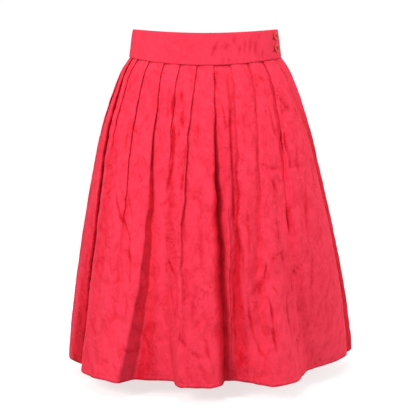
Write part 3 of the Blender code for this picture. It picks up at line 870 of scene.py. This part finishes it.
def cotton(name, colour, deep, crumple_and_shade):
    """Crumpled plain-woven cotton: threads, slubs and small creases, with painted shade in its
    folds and creases and painted mottled shade of its crumple.
    """
    material, tree, shader = add_material(name, {
        "Roughness": 0.85, "Specular IOR Level": 0.06, "Sheen Weight": 0.02,
        "Sheen Roughness": 0.5, "Sheen Tint": (1.0, 0.55, 0.6, 1.0)})
    place = node(tree, "ShaderNodeUVMap", uv_map="cloth").outputs["UV"]

    # Painted mottled shade of the crumple: blotches, streaks and short dark strokes darken the
    # colour; blotches and strokes, with the crumple, also bump the cloth.
    blotches = patches(tree, place, (54.0, 36.0), 6.0, 0.9, 0.45, 0.68)
    streaks = patches(tree, place, (150.0, 140.0), 3.0, 0.5, 0.44, 0.72)
    crumple = patches(tree, place, (170.0, 130.0), 4.0, 0.8, 0.0, 1.0)
    near_level = combine(tree, "ABSOLUTE", combine(
        tree, "SUBTRACT", patches(tree, place, (84.0, 74.0), 2.0, 1.3, 0.0, 1.0), 0.5), 0.0)
    stroke = node(tree, "ShaderNodeMapRange", **{
        "From Min": 0.0, "From Max": 0.022, "To Min": 1.0, "To Max": 0.0})
    link(tree, near_level, stroke.inputs["Value"])
    strokes = combine(tree, "MULTIPLY", stroke.outputs["Result"],
                      patches(tree, place, (30.0, 20.0), 2.0, 0.0, 0.45, 0.60))

    # Painted shade: the folds' and creases' painted_shade attribute, with the mottling, moves the
    # colour towards the deep and deepest colours.
    painted_shade = node(tree, "ShaderNodeAttribute", attribute_name="painted_shade").outputs["Fac"]
    dark = combine(tree, "MULTIPLY", painted_shade, PAINTED_SHADE_WEIGHT)
    for value, weight in ((blotches, 0.27), (streaks, 0.10), (strokes, 0.34)):
        dark = combine(tree, "ADD", dark, combine(tree, "MULTIPLY", value, weight * crumple_and_shade))
    tone = node(tree, "ShaderNodeValToRGB")
    tone.color_ramp.elements[0].color = (*colour, 1.0)
    tone.color_ramp.elements[1].color = (*[DEEPEST * part for part in deep], 1.0)
    tone.color_ramp.elements.new(DEEP_AT).color = (*deep, 1.0)
    link(tree, dark, tone.inputs["Fac"])
    link(tree, tone.outputs["Color"], shader.inputs["Base Color"])

    slub_up = patches(tree, place, (2600.0, 120.0), 2.0, 0.0, 0.0, 1.0)
    slub_across = patches(tree, place, (140.0, 2600.0), 2.0, 0.0, 0.0, 1.0)
    normal = None
    for value, strength, distance in (
            (blotches, 0.4 * crumple_and_shade, -0.0010), (crumple, 0.55 * crumple_and_shade, 0.0014),
            (strokes, 0.5 * crumple_and_shade, -0.0006), (slub_up, 0.22, 0.0002), (slub_across, 0.22, 0.0002)):
        bump = node(tree, "ShaderNodeBump", Strength=strength, Distance=distance)
        link(tree, value, bump.inputs["Height"])
        if normal is not None:
            link(tree, normal, bump.inputs["Normal"])
        normal = bump.outputs["Normal"]
    link(tree, normal, shader.inputs["Normal"])
    return material


def speckled(name, colour, roughness, coat):
    """Plastic or thread whose colour varies a little."""
    material, tree, shader = add_material(name, {
        "Roughness": roughness, "Coat Weight": coat, "Specular IOR Level": 0.25})
    texture = node(tree, "ShaderNodeTexNoise", Scale=SPECKLE_SCALE, Detail=3.0)
    coordinates = node(tree, "ShaderNodeTexCoord")
    link(tree, coordinates.outputs["Object"], texture.inputs["Vector"])
    ramp = node(tree, "ShaderNodeValToRGB")
    ramp.color_ramp.elements[0].color = (*[SPECKLE_DEEP * part for part in colour], 1.0)
    ramp.color_ramp.elements[1].color = (*colour, 1.0)
    link(tree, texture.outputs["Fac"], ramp.inputs["Fac"])
    link(tree, ramp.outputs["Color"], shader.inputs["Base Color"])
    return material


# Floor, lights and camera, in metres, degrees and watts.

FLOOR_GAP = 0.030                  # from the floor up to the solids' lowest point
FLOOR_HALF_WIDTH = 8.0
FLOOR_FRONT, FLOOR_BACK = -6.0, 3.0
WALL_TOP = 8.0
WALL_BEND = 2.0                    # radius of the curve from the floor up to the wall
WORLD_STRENGTH = 0.47
LIGHTS = (                         # name, place, what it points at, diameter and power
    ("key", (-1.8, -2.5, 1.1), (0.0, 0.0, -0.25), 1.3, 73.0),
    ("side", (3.0, -0.45, 0.3), (0.0, 0.0, -0.35), 1.4, 50.0),
    ("top", (-0.3, -1.2, 2.6), (0.0, -0.1, -0.2), 1.5, 34.0),
)
CAMERA_PLACE = (0.0044, -2.5, 0.03)
CAMERA_TILT = 7.27                 # downward
CAMERA_SENSOR, CAMERA_LENS = 36.0, 123.63   # in millimetres


def make_floor():
    """A pale floor that curves up into a wall far behind."""
    bend = [math.radians(angle) for angle in range(10, 91, 10)]
    profile = [(FLOOR_FRONT, 0.0), (FLOOR_BACK, 0.0)]
    profile += [
        (FLOOR_BACK + WALL_BEND * math.sin(angle), WALL_BEND - WALL_BEND * math.cos(angle))
        for angle in bend
    ]
    profile.append((FLOOR_BACK + WALL_BEND, WALL_TOP))
    floor_z = CAD_LOW.z - FLOOR_GAP
    verts = [
        (x, y, floor_z + up) for x in (-FLOOR_HALF_WIDTH, FLOOR_HALF_WIDTH) for y, up in profile
    ]
    count = len(profile)
    faces = [
        (place, place + count, place + count + 1, place + 1) for place in range(count - 1)
    ]
    floor = add_mesh("floor", verts, faces)
    material = add_material("pale floor", {
        "Base Color": (0.52, 0.52, 0.52, 1.0), "Emission Color": (1.0, 1.0, 1.0, 1.0),
        "Emission Strength": 0.69, "Roughness": 0.9, "Specular IOR Level": 0.0})[0]
    floor.data.materials.append(material)
    floor.visible_diffuse = False


def make_light(name, place, target, size, power):
    data = bpy.data.lights.new(name, "AREA")
    data.shape = "DISK"
    data.size = size
    data.energy = power
    lamp = bpy.data.objects.new(name, data)
    lamp.location = place
    lamp.rotation_mode = "QUATERNION"
    lamp.rotation_quaternion = (Vector(target) - Vector(place)).to_track_quat("-Z", "Y")
    bpy.context.scene.collection.objects.link(lamp)


def make_studio():
    world = bpy.data.worlds.new("studio")
    world.use_nodes = True
    background = world.node_tree.nodes["Background"]
    background.inputs["Color"].default_value = (1.0, 1.0, 1.0, 1.0)
    background.inputs["Strength"].default_value = WORLD_STRENGTH
    bpy.context.scene.world = world
    for light in LIGHTS:
        make_light(*light)
    bpy.context.scene.view_settings.view_transform = "Standard"


def make_camera():
    data = bpy.data.cameras.new("camera")
    data.sensor_width = CAMERA_SENSOR
    data.lens = CAMERA_LENS
    camera = bpy.data.objects.new("camera", data)
    camera.location = CAMERA_PLACE
    camera.rotation_euler = (math.radians(90.0 - CAMERA_TILT), 0.0, 0.0)
    bpy.context.scene.collection.objects.link(camera)
    bpy.context.scene.camera = camera


def main():
    cloth = cotton("skirt cotton", CLOTH_COLOUR, CLOTH_DEEP, 1.0)
    band_cloth = cotton("band cotton", BAND_COLOUR, BAND_DEEP, BAND_CRUMPLE_AND_SHADE)
    button_look = speckled("button plastic", BUTTON_COLOUR, 0.35, 0.15)
    thread_look = speckled("thread", THREAD_COLOUR, 0.80, 0.0)
    # Real thread, partly painted shade: darkened for the shade in the buttonholes' slits.
    buttonhole_shaded_look = speckled("buttonhole thread", BUTTONHOLE_SHADED_COLOUR, 0.80, 0.0)

    front_start = seam_stations(SIDE_SEAM, 0, 1.0)
    back_end = seam_stations(SIDE_SEAM, 1, -1.0)
    front = build_panel(
        "skirt_front_cloth", PLEATS_FRONT, SHADES_FRONT, front_start, FRONT_END,
        spacing=POINT_SPACING[0], seed=1.7, seam_point=0)
    back = build_panel(
        "skirt_back_cloth", PLEATS_BACK, SHADES_BACK, BACK_START, back_end,
        spacing=POINT_SPACING[1], seed=21.3, seam_point=-1)
    band = build_band()
    for piece, node_name, slot, material, flat, area, held in (
            (front, "skirt_front", "skirt_cloth", cloth, (1.00, 0.54), 0.46, "gathered"),
            (back, "skirt_back", "skirt_cloth", cloth, (1.06, 0.54), 0.50, "gathered"),
            (band, "waistband", "band_cloth", band_cloth, (0.80, 0.048), None, "stretched")):
        piece.data.materials.append(material)
        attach(piece, "root")
        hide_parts(node_name)
    for name, turn, height in BUTTONS:
        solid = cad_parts["button_" + name]
        for slot in solid.material_slots:
            slot.material = button_look
        stitches = build_stitches("button_" + name + "_thread", turn, height)
        stitches.data.materials.append(thread_look)
        buttonhole = build_buttonhole("buttonhole_" + name, turn, height)
        buttonhole.data.materials.append(buttonhole_shaded_look)
        for piece in (stitches, buttonhole):
            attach(piece, "root")
    make_floor()
    make_studio()
    make_camera()


main()
